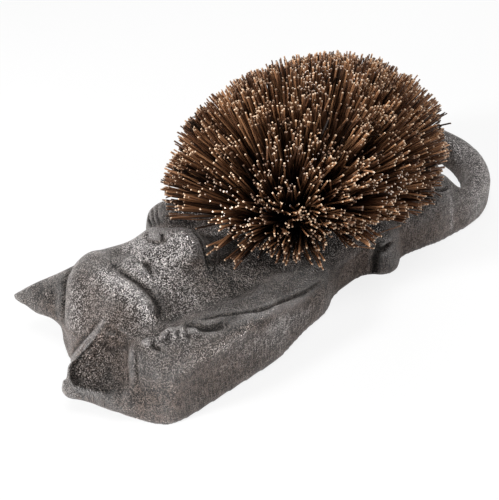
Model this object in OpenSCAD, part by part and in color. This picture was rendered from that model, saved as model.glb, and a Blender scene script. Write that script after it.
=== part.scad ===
// Cast iron cat lying on its back, with a boot brush for a belly.
// Head towards -X, tail towards +X, floor at z = 0, body's middle line at y = 0.

/* [Casting] */
// Thickness of the iron left round the hollow underside
wall = 6; // [5:0.5:8]
// Slope of the outer walls from upright, in degrees
draft = 3; // [0:0.5:6]
// Height of the belly rim round the brush
belly_height = 29; // [27:0.5:34]
// Width of the belly rim round the brush
belly_rim = 20; // [17:0.5:26]
// Depth of the brush seat below the belly rim
seat_depth = 9; // [8:0.5:11]
// Thickness of the plate under the brush seat
seat_plate = 6; // [5:0.5:8]
// Width over which limbs and body melt together
blend = 2.5; // [1.5:0.1:4]

/* [Head] */
// Width of the skull from cheek to cheek
head_width = 68; // [60:1:74]
// Height of the forehead
head_height = 47; // [42:1:52]
// Height of the nose and chin
muzzle_height = 56; // [50:1:62]
// Length of the ears from the skull
ear_length = 34; // [26:1:42]
// Height of the ears' middle line
ear_height = 18; // [16:1:24]

/* [Limbs] */
// Height of the near arm
arm_height = 34; // [30:1:38]
// Width of the near paw
paw_width = 34; // [28:1:38]
// Width of the arms at the elbow
arm_width = 20; // [16:1:24]
// Height of the hind legs
leg_height = 28; // [25:1:32]

/* [Tail] */
// Radius of the tail's curl, to the middle of the tail
tail_radius = 56; // [50:1:60]
// Width of the tail
tail_width = 17; // [13:1:20]
// Height of the tail
tail_height = 20; // [15:1:24]

/* [Brush] */
// Length of the oval brush block
block_length = 104; // [90:1:116]
// Width of the oval brush block
block_width = 52; // [44:1:60]
// Height of the block's lower half, which sits in the casting
block_base = 10; // [9:0.5:14]
// Height of the straight edge of the block's upper half
block_edge = 4; // [3:0.5:6]
// Rise of the block's crown above that edge
block_crown = 20; // [14:1:26]
// Clearance between the block and the wall of its seat
seat_clearance = 0.4; // [0.2:0.1:1]
// Length of the bristles at the crown
bristle_crown = 60; // [45:1:65]
// Length of the bristles at the rim
bristle_rim = 43; // [36:1:52]
// Tilt of the outermost bristles from upright, in degrees
bristle_fan = 78; // [60:1:85]
// Thickness of a bristle strand
strand = 2.2; // [1.6:0.1:2.6]
// Rows of tufts across the block
row_count = 12; // [10:1:14]
// Distance between strands across the crown
strand_pitch = 3.5; // [3.4:0.1:5]

/* [Screws] */
// Diameter of the wood screws
screw_d = 3.5; // [3:0.5:5]
// Length of screw that bites into the block
screw_bite = 8; // [6:0.5:9]
// Distance between the two screws
screw_spacing = 60; // [40:1:70]
// Diameter of the screw heads
head_d = 7.5; // [6.5:0.5:10]
// Height of the screw heads
head_h = 3; // [2.5:0.5:3.5]
// Diameter of the washers
washer_d = 12; // [10.5:0.5:15]
// Thickness of the washers
washer_h = 1.2; // [0.8:0.1:1.6]
// Room round the screws in the washers and the seat plate
screw_clearance = 0.4; // [0.2:0.1:1]

/* [Hidden] */
$fn = 48;
row_names = [for (i = [1:row_count]) str("bristle_row_", i < 10 ? "0" : "", i)];

// Size of the facets of the cast surface
facet = 4.5;
// Room round the cat that the facets' grid takes in
grid_margin = 14;
// Room round a screw in the block
bore_fit = 0.05;
// Overshoot of cuts past the faces that they open
over = 1;

// The brush's place and the levels that follow from it
brush_x = 17;
seat_z = belly_height - seat_depth;
plate_z = seat_z - seat_plate;
split_z = seat_z + block_base;
half_length = block_length / 2;
half_width = block_width / 2;
belly_half = half_width + belly_rim;
chest_x = brush_x - half_length;
rump_x = brush_x + half_length;
paw_r = paw_width / 2;
arm_r = arm_width / 2;
head_r = head_width / 2;
tail_r = tail_width / 2;

// Places in plan: ahead and behind run along the cat, off, in and out run across it
head_ahead = 76;
head_off = 10;
brow_ahead = 84;
brow_off = 15;
brow_length = 8;
head_length = 10;
muzzle_ahead = 56;
muzzle_off = 11;
chin_ahead = 42;
chin_off = 6;
neck_ahead = 44;
neck_off = 4;
throat_behind = 6;
paw_ahead = 91;
paw_in = 9;
elbow_ahead = 37;
elbow_out = 1;
shoulder_behind = 9;
shoulder_in = 5;
far_elbow_ahead = 21;
far_elbow_in = 4;
far_shoulder_in = 7;
far_paw_ahead = 39;
far_paw_in = 20;
knee_behind = 11;
knee_out = 1;
knee_length = 1;
shin_ahead = 20;
shin_in = 5;
heel_behind = 8;
heel_out = 1;
foot_behind = 27;
foot_in = 6;
seat_behind = 26;
tail_behind = 35;
belly_front = 12;
belly_back = 10;
head_at = [chest_x - head_ahead, head_off];
brow_at = [chest_x - brow_ahead, brow_off];
muzzle_at = [chest_x - muzzle_ahead, muzzle_off];
chin_at = [chest_x - chin_ahead, chin_off];
neck_at = [chest_x - neck_ahead, neck_off];
throat_at = [chest_x + throat_behind, 0];
paw_at = [chest_x - paw_ahead, paw_in - belly_half];
elbow_at = [chest_x - elbow_ahead, -belly_half - elbow_out];
shoulder_at = [chest_x + shoulder_behind, shoulder_in - belly_half];
far_elbow_at = [chest_x - far_elbow_ahead, belly_half - far_elbow_in];
far_shoulder_at = [chest_x + shoulder_behind, belly_half - far_shoulder_in];
far_paw_at = [chest_x - far_paw_ahead, belly_half - far_paw_in];
knee_at = [brush_x + knee_behind, belly_half + knee_out];
shin_at = [rump_x - shin_ahead, belly_half - shin_in];
heel_at = [rump_x + heel_behind, belly_half + heel_out];
foot_at = [rump_x + foot_behind, belly_half - foot_in];
loin_at = [rump_x - shin_ahead, 0];
seat_at = [rump_x + seat_behind, 0];
tail_at = [rump_x + tail_behind, 0];

// Half widths of the limbs and of the body where it is narrower than the belly
body_in = 8;
loin_in = 6;
brow_in = 8;
muzzle_more = 1;
chin_more = 2;
elbow_more = 1;
shoulder_less = 1;
far_arm_more = 4;
muzzle_r = head_r / 2 + muzzle_more;
chin_r = muzzle_r + chin_more;
elbow_r = arm_r + elbow_more;
shoulder_r = arm_r - shoulder_less;
far_arm_r = arm_r + far_arm_more;
knee_r = 10;
shin_r = 12;
heel_r = 14;
foot_r = 11;

// Heights above or below the level that each form follows
chest_lift = 6;
throat_lift = 2;
loin_drop = 2;
seat_drop = 5;
eye_drop = 2;
brow_lift = 2;
chin_drop = 5;
elbow_lift = 1;
shoulder_drop = 4;
far_elbow_lift = 6;
knee_lift = 1;
foot_drop = 2;

// Heights of the round tops over their walls
belly_round = 9;
chest_round = 14;
rump_round = 12;
head_round = 32;
brow_round = 30;
muzzle_round = 34;
paw_round = 11;
arm_round = 8;
far_arm_round = 14;
leg_round = 9;

// A spot is a plan place with a wall height, a radius and the rise of the round top over the wall
function spot(at, top, radius, rise) = [at.x, at.y, top - rise, radius, rise];

// Fullness of a round top: 2 is a plain dome, more has squarer shoulders
dome = 2;
full = 2.6;

// Each form runs through its spots in turn, with one fullness
belly = [[
    spot([chest_x + belly_front, 0], belly_height, belly_half, belly_round),
    spot([rump_x - belly_back, 0], belly_height, belly_half, belly_round)
], full];
chest = [[
    spot(neck_at, belly_height + chest_lift, belly_half - body_in, chest_round),
    spot(throat_at, belly_height + throat_lift, belly_half - body_in, chest_round)
], full];
rump = [[
    spot(loin_at, belly_height - loin_drop, belly_half - loin_in, rump_round),
    spot(seat_at, belly_height - seat_drop, belly_half - body_in, rump_round)
], full];
skull = [[
    spot(head_at, head_height, head_r, head_round),
    spot(head_at + [head_length, 0], head_height - eye_drop, head_r, head_round)
], dome];
forehead = [[
    spot(brow_at, head_height + brow_lift, head_r - brow_in, brow_round),
    spot(brow_at + [brow_length, 0], head_height + brow_lift, head_r - brow_in, brow_round)
], dome];
muzzle = [[
    spot(muzzle_at, muzzle_height, muzzle_r, muzzle_round),
    spot(chin_at, muzzle_height - chin_drop, chin_r, muzzle_round)
], dome];
near_arm = [[
    spot(paw_at, arm_height, paw_r, paw_round),
    spot(elbow_at, arm_height + elbow_lift, elbow_r, arm_round),
    spot(shoulder_at, arm_height - shoulder_drop, shoulder_r, arm_round)
], full];
far_arm = [[
    spot(far_shoulder_at, arm_height - shoulder_drop, far_arm_r, far_arm_round),
    spot(far_elbow_at, arm_height + far_elbow_lift, far_arm_r, far_arm_round),
    spot(far_paw_at, arm_height, arm_r, far_arm_round)
], full];

// Hind leg of one side: the knee stands by itself, the shin runs down to the heel and the foot
function sided(at, side) = [at.x, side * at.y];
function knee(side) = [[
    spot(sided(knee_at, side), leg_height + knee_lift, knee_r, leg_round),
    spot(sided(knee_at, side) + [knee_length, 0], leg_height + knee_lift, knee_r, leg_round)
], full];
function hind_leg(side) = [[
    spot(sided(shin_at, side), leg_height - foot_drop, shin_r, leg_round),
    spot(sided(heel_at, side), leg_height - foot_drop, heel_r, leg_round),
    spot(sided(foot_at, side), leg_height - foot_drop, foot_r, leg_round)
], full];
forms = [
    belly, chest, rump, skull, forehead, muzzle, near_arm, far_arm,
    knee(-1), hind_leg(-1), knee(1), hind_leg(1)
];

// Gap from a point to a round-topped form with drafted walls: negative inside
function profile_gap(reach, up, radius, rise, power) =
    radius * (pow(pow(reach / radius, power) + pow(up / rise, power), 1 / power) - 1);
function stretch_gap(p, a, b, power) =
    let (
        run = [b.x - a.x, b.y - a.y],
        to = [p.x - a.x, p.y - a.y],
        c = a + min(1, max(0, to * run / (run * run))) * (b - a),
        up = max(p.z - c.z, 0),
        slope = tan(draft) * max(c.z - p.z, 0)
    )
    profile_gap(norm([p.x - c.x, p.y - c.y]), up, c[3], c[4], power) - slope;
function form_gap(p, form) =
    min([for (i = [1:len(form[0]) - 1]) stretch_gap(p, form[0][i - 1], form[0][i], form[1])]);

// The tail is a low round-topped ring, open where it runs into the hind legs
tail_from = -105;
tail_to = 110;
tail_rise = 11;
function tail_gap(p) =
    let (
        angle = atan2(p.y - tail_at.y, p.x - tail_at.x),
        held = min(tail_to, max(tail_from, angle)),
        c = tail_at + tail_radius * [cos(held), sin(held)],
        wall_z = tail_height - tail_rise,
        slope = tan(draft) * max(wall_z - p.z, 0)
    )
    profile_gap(norm([p.x - c.x, p.y - c.y]), max(p.z - wall_z, 0), tail_r, tail_rise, full) - slope;

// An ear is a flattened cone from the skull to its tip, rolled about its length
function make_ear(root, tip, wide, thick, roll) =
    let (
        ahead = (tip - root) / norm(tip - root),
        level = cross([0, 0, 1], ahead) / norm(cross([0, 0, 1], ahead)),
        side = cos(roll) * level + sin(roll) * cross(ahead, level)
    )
    [root, tip, wide, thick, [ahead, side, cross(ahead, side)]];
ear_tip_r = 3;
ear_sunk = 5;
near_ear_width = 56;
near_ear_thickness = 36;
near_ear_back = 15;
near_ear_out = 36;
near_ear_turn = 15;
near_ear_root = [head_at.x - near_ear_back, head_at.y - near_ear_out, ear_height - ear_sunk];
near_ear_tip = near_ear_root + [-ear_length - ear_sunk, near_ear_turn, 0];
near_ear = make_ear(near_ear_root, near_ear_tip, near_ear_width / 2, near_ear_thickness / 2, roll = -25);
// The upper rim of the near ear stands up as a thin wall that runs to the same tip
rim_height = 28;
rim_thickness = 12;
rim_out = 13;
near_rim_root = [head_at.x - near_ear_back, head_at.y - rim_out, ear_height - ear_sunk];
near_rim = make_ear(near_rim_root, near_ear_tip, rim_height, rim_thickness / 2, roll = -85);
far_ear_width = 38;
far_ear_thickness = 32;
far_ear_back = 15;
far_ear_out = 23;
far_ear_lift = 3;
far_ear_turn = 8;
far_ear_rise = 5;
far_ear_slant = 0.78;
far_ear_root = [head_at.x - far_ear_back, head_at.y + far_ear_out, ear_height + far_ear_lift];
far_ear_run = far_ear_slant * ear_length * [-1, 1, 0] + [0, -far_ear_turn, far_ear_rise];
far_ear_tip = far_ear_root + far_ear_run;
far_ear = make_ear(far_ear_root, far_ear_tip, far_ear_width / 2, far_ear_thickness / 2, roll = 20);
function ear_gap(p, ear) =
    let (
        run = ear[1] - ear[0],
        t = min(1, max(0, (p - ear[0]) * run / (run * run))),
        q = ear[4] * (p - ear[0] - t * run),
        wide = ear[2] * (1 - t) + ear_tip_r * t,
        thick = ear[3] * (1 - t) + ear_tip_r * t
    )
    min(wide, thick) * (norm([q[0] / ear_tip_r, q[1] / wide, q[2] / thick]) - 1);

// The near ear is dished on its upper side
dish = [17, 12, 7];
function dish_gap(p) =
    let (
        middle = (near_ear[0] + near_ear[1]) / 2,
        lip = (near_ear[3] + ear_tip_r) / 2,
        q = near_ear[4] * (p - middle) - [0, 0, lip]
    )
    dish[2] * (norm([q[0] / dish[0], q[1] / dish[1], q[2] / dish[2]]) - 1);
function dished_gap(p, ear) = max(ear_gap(p, ear), -dish_gap(p));

// Gap from a point to the whole cat: the forms melt together over the blend width
function cat_gap(p) =
    let (
        gaps = concat(
            [for (f = forms) form_gap(p, f)],
            [tail_gap(p), dished_gap(p, near_ear), dished_gap(p, near_rim), ear_gap(p, far_ear)]
        )
    )
    -blend * ln([for (g = gaps) exp(-g / blend)] * [for (g = gaps) 1]);

// The cast skin: a net of facets where the gap changes sign, flat on the floor
module cast_skin() {
    low = [near_ear[1].x - grid_margin, -tail_radius - tail_width];
    count = [
        ceil((tail_at.x + tail_radius + tail_width + grid_margin - low.x) / facet),
        ceil(-2 * low.y / facet),
        ceil((muzzle_height + grid_margin) / facet)
    ];
    function place(i, j, k) = [low.x + i * facet, low.y + j * facet, (k - 0.5) * facet];
    sampled = [for (i = [0:count.x]) [for (j = [0:count.y]) [for (k = [0:count.z])
        k == 0 ? facet : cat_gap(place(i, j, k))]]];
    function sample(c) = sampled[c.x][c.y][c.z];
    // Iron that meets only corner to corner across a cell's face would pinch the net, so that gap is filled
    steps = [[1, 0, 0], [0, 1, 0], [0, 0, 1]];
    pinches = [for (d = [0:2]) for (s = [-1, 1]) for (t = [-1, 1]) [s * steps[d], t * steps[(d + 1) % 3]]];
    function pinched(c) = sample(c) >= 0 && sample(c) < facet && len([for (p = pinches)
        if (sample(c + p[0]) < 0 && sample(c + p[1]) < 0 && sample(c + p[0] + p[1]) >= 0) 1]) > 0;
    fill = facet / 20;
    value = [for (i = [0:count.x]) [for (j = [0:count.y]) [for (k = [0:count.z])
        pinched([i, j, k]) ? -fill : sampled[i][j][k]]]];
    function inside(i, j, k) = value[i][j][k] < 0;
    corners = [for (a = [0, 1]) for (b = [0, 1]) for (c = [0, 1]) [a, b, c]];
    edges = [for (a = corners) for (d = steps) if (a * d == 0) [a, a + d]];
    // The lowest cells take their place from the section just above the floor
    floor_edges = [for (e = edges) if (e[0].z == 1 && e[1].z == 1) e];
    cells = [for (i = [0:count.x - 1]) for (j = [0:count.y - 1]) for (k = [0:count.z - 1]) [i, j, k]];
    crossed = [for (c = cells)
        let (held = [for (o = corners) if (inside(c.x + o.x, c.y + o.y, c.z + o.z)) 1])
        len(held) > 0 && len(held) < len(corners)];
    number = [for (c = 0, n = 0; c < len(cells); n = n + (crossed[c] ? 1 : 0), c = c + 1) n];
    function cut(c, e) =
        let (
            a = c + e[0],
            b = c + e[1],
            va = value[a.x][a.y][a.z],
            vb = value[b.x][b.y][b.z]
        )
        place(a.x, a.y, a.z) + va / (va - vb) * (place(b.x, b.y, b.z) - place(a.x, a.y, a.z));
    function changes(c, e) =
        let (a = c + e[0], b = c + e[1])
        inside(a.x, a.y, a.z) != inside(b.x, b.y, b.z);
    function mean(list) = [for (a = list) 1] * list / len(list);
    function net_point(c) =
        let (
            cuts = [for (e = c.z == 0 ? floor_edges : edges) if (changes(c, e)) cut(c, e)],
            at = len(cuts) > 0 ? mean(cuts) : place(c.x + 0.5, c.y + 0.5, c.z)
        )
        c.z == 0 ? [at.x, at.y, 0] : at;
    points = [for (c = [0:len(cells) - 1]) if (crossed[c]) net_point(cells[c])];
    function id(i, j, k) = number[(i * count.y + j) * count.z + k];
    // The four cells round a grid edge, for each of the three directions
    rounds = [
        [[0, -1, -1], [0, 0, -1], [0, 0, 0], [0, -1, 0]],
        [[-1, 0, -1], [-1, 0, 0], [0, 0, 0], [0, 0, -1]],
        [[-1, -1, 0], [0, -1, 0], [0, 0, 0], [-1, 0, 0]]
    ];
    faces = [for (c = cells) for (d = [0:2])
        let (n = c + steps[d])
        if (inside(c.x, c.y, c.z) != inside(n.x, n.y, n.z))
            let (
                ring = [for (r = rounds[d]) id(c.x + r.x, c.y + r.y, c.z + r.z)],
                turned = inside(c.x, c.y, c.z) ? [ring[3], ring[2], ring[1], ring[0]] : ring
            )
            each [[turned[0], turned[1], turned[2]], [turned[0], turned[2], turned[3]]]];
    polyhedron(points, faces);
}

// Half width of the block's oval outline at a distance from its middle, grown by a margin
end_flat = 1.5;
function oval(x, margin = 0) =
    (half_width + margin) * sqrt(max(0, 1 - pow(x / (half_length + margin), 2)));
function station(i, margin = 0) = (2 * i / row_count - 1) * (half_length - end_flat + margin);

// Outline of the block, with corners at the rows' borders and middles
module block_outline(margin = 0) {
    along = [for (i = [0:0.5:row_count]) station(i, margin)];
    back = [for (i = [row_count:-0.5:0]) station(i, margin)];
    polygon(concat(
        [for (x = along) [brush_x + x, -oval(x, margin)]],
        [for (x = back) [brush_x + x, oval(x, margin)]]
    ));
}

// A round-ended core that leaves the underside hollow
module core(a, b, radius, height) {
    run = [b.x - a.x, b.y - a.y];
    translate([a.x, a.y, -over])
        rotate([0, 0, atan2(run.y, run.x)]) {
            cylinder(r = radius, h = height + over);
            translate([norm(run), 0, 0])
                cylinder(r = radius, h = height + over);
            translate([0, -radius, 0])
                cube([norm(run), 2 * radius, height + over]);
        }
}
// A core that stays a wall's thickness inside a form
module form_core(form, height)
    core(form[0][0], form[0][1], min(form[0][0][3], form[0][1][3]) - wall, height);

screw_x = [brush_x - screw_spacing / 2, brush_x + screw_spacing / 2];
neck_core_r = 20;
neck_core_at = [chest_x - wall - neck_core_r, neck_at.y / 2];
// Step between the ceilings of neighbouring hollows
core_step = 1;
// Depth of the hollows' ceilings below the tops of the head and the arms
head_roof = 21;
paw_roof = 11;
far_arm_roof = 12;

module cat_casting() {
    color([0.25, 0.22, 0.2])
        difference() {
            cast_skin();
            translate([0, 0, seat_z])
                linear_extrude(height = muzzle_height)
                    block_outline(seat_clearance);
            for (x = screw_x)
                translate([x, 0, 0])
                    cylinder(d = screw_d + screw_clearance, h = seat_z + over);
            form_core(belly, plate_z);
            form_core(rump, plate_z - core_step);
            form_core(chest, plate_z - 2 * core_step);
            form_core(skull, head_height - head_roof);
            core(neck_at, neck_core_at, neck_core_r, belly_height - wall);
            core(paw_at, paw_at + [core_step, 0], paw_r - wall, arm_height - paw_roof);
            form_core(far_arm, arm_height - far_arm_roof);
        }
}

module brush_block() {
    color([0.08, 0.07, 0.07])
        difference() {
            translate([0, 0, seat_z])
                linear_extrude(height = block_base)
                    block_outline();
            for (x = screw_x)
                translate([x, 0, seat_z - over])
                    cylinder(d = screw_d + bore_fit, h = screw_bite + bore_fit + over);
        }
}

// Crown of the block over a plan place, measured from the block's middle
function spread(x, y) = norm([x / half_length, y / half_width]);
function crown_z(x, y) =
    split_z + block_edge + block_crown * sqrt(max(0, 1 - pow(spread(x, y), 2)));

// Direction and length of the bristle that grows from a plan place
function tilt(x, y) = bristle_fan / 90 * asin(min(1, spread(x, y)));
function growth(x, y) =
    let (
        lean = tilt(x, y),
        turn = atan2(y / half_width, x / half_length),
        long = bristle_crown + (bristle_rim - bristle_crown) * pow(lean / bristle_fan, 2)
    )
    long * [sin(lean) * cos(turn), sin(lean) * sin(turn), cos(lean)];

// One row of tufts: a slice of the block's upper half with its strands, as one closed skin
module bristle_row(row) {
    columns = 2;
    fewest = 4;
    // Width of a strand's tip as a share of its root, and the most of its cell that a root's half takes
    taper = 0.75;
    widest = 0.35;
    middle = station(row + 0.5);
    // Length of the crown's half oval over the row's middle
    crown_arc = PI * norm([oval(middle), crown_z(middle, 0) - split_z]) / sqrt(2);
    cells = max(fewest, round(crown_arc / strand_pitch));
    function at(c, j) =
        let (
            x = station(row + c / columns),
            y = oval(x) * sin(90 * (2 * j / cells - 1))
        )
        [x, y, crown_z(x, y)];
    function foot(c, side) = let (x = station(row + c / columns)) [x, side * oval(x), split_z];
    grid = [for (c = [0:columns]) for (j = [0:cells]) at(c, j)];
    feet = [for (c = [0:columns]) for (side = [-1, 1]) foot(c, side)];
    function across(c, j, v) = (1 - v) * at(c, j) + v * at(c, j + 1);
    function on_cell(c, j, u, v) = (1 - u) * across(c, j, v) + u * across(c + 1, j, v);
    ring = [[-1, -1], [1, -1], [1, 1], [-1, 1]];
    places = [for (c = [0:columns - 1]) for (j = [0:cells - 1]) [c, j]];
    strands = [for (s = places)
        let (
            mid = on_cell(s[0], s[1], 0.5, 0.5),
            du = min(widest, strand / 2 / norm(at(s[0] + 1, s[1]) - at(s[0], s[1]))),
            dv = min(widest, strand / 2 / norm(at(s[0], s[1] + 1) - at(s[0], s[1]))),
            base = [for (r = ring) on_cell(s[0], s[1], 0.5 + r.x * du, 0.5 + r.y * dv)],
            grow = growth(mid.x, mid.y)
        )
        each concat(base, [for (b = base) mid + grow + taper * (b - mid)])];
    function g(c, j) = c * (cells + 1) + j;
    function f(c, side) = len(grid) + 2 * c + side;
    function s(n, i) = len(grid) + len(feet) + 8 * n + i;
    function quad(a, b, c, d) = [[a, b, c], [a, c, d]];
    cell_faces = [for (n = [0:len(places) - 1])
        let (
            c = places[n][0],
            j = places[n][1],
            rim = [g(c, j), g(c + 1, j), g(c + 1, j + 1), g(c, j + 1)]
        )
        each concat(
            [for (i = [0:3]) each quad(s(n, i), s(n, (i + 1) % 4), rim[(i + 1) % 4], rim[i])],
            [for (i = [0:3]) each quad(s(n, i + 4), s(n, (i + 1) % 4 + 4), s(n, (i + 1) % 4), s(n, i))],
            quad(s(n, 7), s(n, 6), s(n, 5), s(n, 4))
        )];
    wall_faces = [for (c = [0:columns - 1]) each concat(
        quad(f(c, 0), g(c, 0), g(c + 1, 0), f(c + 1, 0)),
        quad(f(c + 1, 1), g(c + 1, cells), g(c, cells), f(c, 1)),
        quad(f(c, 0), f(c + 1, 0), f(c + 1, 1), f(c, 1))
    )];
    end_faces = [for (j = [0:cells]) each [
        [f(0, 0), j < cells ? g(0, j + 1) : f(0, 1), g(0, j)],
        [f(columns, 0), g(columns, j), j < cells ? g(columns, j + 1) : f(columns, 1)]
    ]];
    color([0.36, 0.22, 0.13])
        translate([brush_x, 0, 0])
            polyhedron(concat(grid, feet, strands), concat(cell_faces, wall_faces, end_faces));
}

module screw(x) {
    shank_h = washer_h + seat_plate + screw_bite;
    tip_h = 3;
    chamfer = 1;
    color("dimgray")
        translate([x, 0, plate_z - washer_h])
            rotate_extrude()
                polygon([
                    [0, -head_h],
                    [head_d / 2 - chamfer, -head_h],
                    [head_d / 2, -head_h + chamfer],
                    [head_d / 2, 0],
                    [screw_d / 2, 0],
                    [screw_d / 2, shank_h - tip_h],
                    [0, shank_h]
                ]);
}

module washer(x) {
    color("silver")
        translate([x, 0, plate_z - washer_h])
            difference() {
                cylinder(d = washer_d, h = washer_h);
                translate([0, 0, -over])
                    cylinder(d = screw_d + screw_clearance, h = washer_h + 2 * over);
            }
}

cat_casting();
brush_block();
screw(screw_x[0]);  // head_screw
screw(screw_x[1]);  // tail_screw
washer(screw_x[0]);  // head_washer
washer(screw_x[1]);  // tail_washer
for (i = [0:row_count - 1])
    bristle_row(i);
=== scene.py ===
"""Looks of the cast iron cat with a boot brush for a belly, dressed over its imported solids."""
import math

import bpy
import numpy as np
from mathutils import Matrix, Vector
from mathutils.bvhtree import BVHTree


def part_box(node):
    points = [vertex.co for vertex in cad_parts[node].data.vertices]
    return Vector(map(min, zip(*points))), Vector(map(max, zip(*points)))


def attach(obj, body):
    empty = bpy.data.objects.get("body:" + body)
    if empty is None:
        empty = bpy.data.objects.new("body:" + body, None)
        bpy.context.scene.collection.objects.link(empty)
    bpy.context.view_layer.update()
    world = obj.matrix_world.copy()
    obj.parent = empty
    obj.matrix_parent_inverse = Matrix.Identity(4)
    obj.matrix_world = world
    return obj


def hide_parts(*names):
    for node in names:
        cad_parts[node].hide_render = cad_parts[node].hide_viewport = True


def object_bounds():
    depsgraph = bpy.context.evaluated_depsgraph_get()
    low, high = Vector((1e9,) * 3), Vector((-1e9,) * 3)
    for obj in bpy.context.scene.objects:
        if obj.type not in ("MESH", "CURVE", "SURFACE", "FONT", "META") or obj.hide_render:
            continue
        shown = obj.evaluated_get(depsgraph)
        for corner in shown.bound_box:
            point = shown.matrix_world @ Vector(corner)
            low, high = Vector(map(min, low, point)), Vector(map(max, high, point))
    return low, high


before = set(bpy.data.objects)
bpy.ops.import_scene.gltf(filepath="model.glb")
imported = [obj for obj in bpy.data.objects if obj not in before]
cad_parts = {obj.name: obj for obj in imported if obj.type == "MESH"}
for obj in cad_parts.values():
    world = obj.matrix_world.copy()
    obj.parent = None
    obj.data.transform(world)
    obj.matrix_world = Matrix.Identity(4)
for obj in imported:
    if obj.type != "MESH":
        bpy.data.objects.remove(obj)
cad_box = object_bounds()

MM = 0.001
BODY = "root"
MERGE_GAP = 1e-6
SHARP_EDGE = math.radians(50)

# Picture and camera
PICTURE_W, PICTURE_H = 499, 500
FOCAL_PX = 760
SENSOR = 36.0
CLIP_START = 10 * MM
CAMERA_AT = Vector((-0.27486, -0.24185, 0.28537))
CAMERA_TO = Vector((-0.0387, -0.0057, 0.02445))
CAMERA_TURN = (CAMERA_TO - CAMERA_AT).to_track_quat("-Z", "Y")

# Floor and light, with the name, place, size and power of each softbox
FLOOR_SIZE = 8.0
FLOOR_DROP = 0.05 * MM
FLOOR_WHITE = 0.8
FLOOR_GREY = (0.6, 0.6, 0.6, 1.0)
WHITE = (1.0, 1.0, 1.0, 1.0)
WORLD_LIGHT = 0.2
LIGHT_TO = Vector((-0.05, 0, 0.03))
SOFTBOXES = [
    ("key_softbox", (-0.8, 0.25, 0.45), 0.15, 12),
    ("top_softbox", (-0.2, -0.1, 1.0), 0.4, 6.5),
    ("front_softbox", (-0.5, -0.9, 0.3), 0.35, 0.7),
    ("side_softbox", (0.6, -0.8, 0.4), 0.4, 6),
    ("back_softbox", (0.7, 0.5, 0.6), 0.4, 4),
]

# Iron skin
QUAD_ANGLE = math.radians(60)
ROUND_LEVELS = 2
VOXEL = 0.8 * MM
SMOOTH_FACTOR = 0.5
SMOOTH_ROUNDS = 6
SKIN_TRIANGLES = 185_000
CREST_ROUNDS = 12
CREST_RISE = 0.6 * MM

# Carving: how a stroke fades beside its path and at its ends, what counts as seen, and how the marks of
# wear, grime, painted light and painted shade are laid
STROKE_REACH = 2.5
END_FADE = 0.25
END_LEAST = 0.05
SEEN_DEPTH = 1.5 * MM
NO_SLOPE = 1e-12
MARK_STEP = 3
UNMARKED = 0.5

# Iron finish: size, detail, roughness and stretch of its noises, the ranges they fill, and its colours
GRAIN = (0.7 * MM, 1, 0.5)
SPECK = (0.5 * MM, 1, 0.5)
LUMPS = (6 * MM, 3, 0.55)
STREAKS = (0.8 * MM, 2, 0.6, (1, 1, 9))
PATCHES = (26 * MM, 3, 0.6)
MOTTLE = (4 * MM, 3, 0.6)
SAND_LOW, SAND_HIGH = 0.45, 0.58
STEEP_BLUR = 0.03
GLINT_RANGE = (0.54, 0.64)
GLINT_SHARE = 0.7
PATCH_RANGE = (0.35, 0.65)
WEAR_LIGHT_AND_SHADE_RANGE = (0.5, 1.0)
CREST_SHARE = 0.5
CAVITY_SHARE = 0.6
IRON_METALLIC = 0.45
DARK_GREY = (0.030, 0.027, 0.025)
DARK_BROWN = (0.040, 0.030, 0.024)
PALE_GREY = (0.205, 0.182, 0.168)
PALE_BROWN = (0.225, 0.170, 0.143)
GLINT_COLOUR = (0.52, 0.48, 0.46)
# Colours of worn iron with painted light, and of grime with painted shade
WORN_AND_LIT_DARK = (0.05, 0.045, 0.043)
WORN_AND_LIT_PALE = (0.75, 0.70, 0.68)
GRIME_AND_SHADE_DARK = (0.003, 0.003, 0.003)
GRIME_AND_SHADE_PALE = (0.125, 0.106, 0.093)
# Ridges lightened, partly polish and partly painted sheen; hollows darkened, partly dust and partly painted
# shade
RIDGE_POLISH_AND_SHEEN = (0.42, 0.40, 0.39)
HOLLOW_DUST_AND_SHADE = (0.018, 0.016, 0.015)

# Brush block, in the sizes of its solid
BLOCK_FLAT = 1.5 * MM
BLOCK_EDGE = 4 * MM
BLOCK_CROWN = 20 * MM
BLOCK_SEGMENTS = 96
WOOD_GRAIN = (0.6 * MM, 3, 0.6, (16, 1, 1))
STAIN_DARK = (0.009, 0.009, 0.010)
STAIN_PALE = (0.024, 0.022, 0.022)

# Bristles: their lengths and fan, where they are worn or fresh, how they part, and their colours, darkened
# toward the root as painted shade among the bristles
ROWS = sorted(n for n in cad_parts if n.startswith("bristle_row_"))
FIRST_SEED = 100
BRISTLE_CROWN = 60 * MM
BRISTLE_RIM = 43 * MM
BRISTLE_FAN = math.radians(78)
BRISTLE_R = 0.46 * MM
BRISTLE_SIDES = 5
BRISTLE_CUTS = (0.33, 0.66, 0.985)
THICKNESS = (0.8, 1.2)
LEAN_POWER = 1.2
WEAR = 0.22
WEAR_TURN = math.radians(-135)
FRESH = 0.09
FRESH_TURN = math.radians(150)
LINES_PER_ROW = 3
LEAST_TUFTS = 2
TUFT_PITCH = 3.9 * MM
TUFT_BRISTLES = 9
TUFT_LENGTHS = (0.96, 1.0)
BRISTLE_LENGTHS = (0.94, 1.0)
ROOT_SPREAD = 0.45 * MM
ROOT_DEPTH = 3 * MM
GOLDEN_TURN = math.pi * (3 - math.sqrt(5))
TURN_DRIFT = 0.6
SPLAY = 1.15
SPLAY_RANGE = (0.7, 1.3)
STRAY_SHARE = 0.04
STRAY = 5
BOW = 0.9 * MM
CLUMP = 0.135
WANDER = 0.05
IRON_GAP = 0.6 * MM
OFF_AXIS = (0.31, 0.95, 0.02)
MIDDLE_TONE = 0.5
TUFT_TONES = 0.17
BRISTLE_TONES = 0.26
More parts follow.
